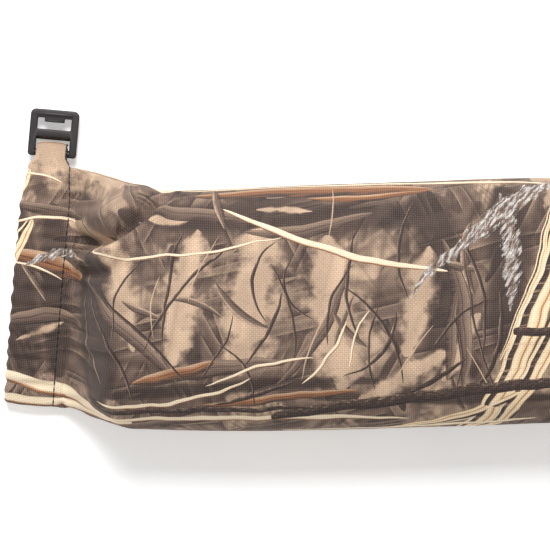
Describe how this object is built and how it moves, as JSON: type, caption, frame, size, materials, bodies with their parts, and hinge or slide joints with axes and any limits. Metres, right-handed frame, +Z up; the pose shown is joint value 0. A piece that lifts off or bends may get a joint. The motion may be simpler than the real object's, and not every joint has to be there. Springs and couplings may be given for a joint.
{
  "type": "training bumper",
  "caption": "Soft round-sided training bumper: a camouflage cloth sleeve over wadded foam, with an elastic gathered mouth, a ladder lock buckle on its rim and a webbing loop at the closed end.",
  "frame": {"origin": "middle of the flat face that the body rests on", "axes": "+X along the body from the gathered mouth to the closed end, +Y towards the side that the buckle hangs on, +Z up from the resting face"},
  "size_m": [0.3366, 0.1289, 0.0623],
  "materials": {
    "camouflage_cloth": "matte",
    "elastic": "matte",
    "black_thread": "matte",
    "black_plastic": "satin",
    "foam": "matte",
    "wadding": "matte",
    "piping_cloth": "matte",
    "webbing": "matte"
  },
  "bodies": {
    "bumper": {"sleeve": "camouflage_cloth", "elastic_band": "elastic", "casing_stitches": "black_thread", "foam_core": "foam", "wadding_wrap": "wadding", "end_panel": "camouflage_cloth", "end_piping": "piping_cloth", "end_stitches": "black_thread", "long_seam": "camouflage_cloth", "long_seam_stitches": "black_thread", "end_loop": "webbing", "loop_stitches": "black_thread"},
    "buckle": {"ladder_lock": "black_plastic"}
  },
  "joints": [
    {"name": "buckle_swing", "type": "hinge", "parent": "bumper", "child": "buckle", "pos_m": [-0.16205, 0.06211, 0.0051], "axis": [0.9962, -0.0872, 0], "range_deg": [-85, 85]}
  ]
}
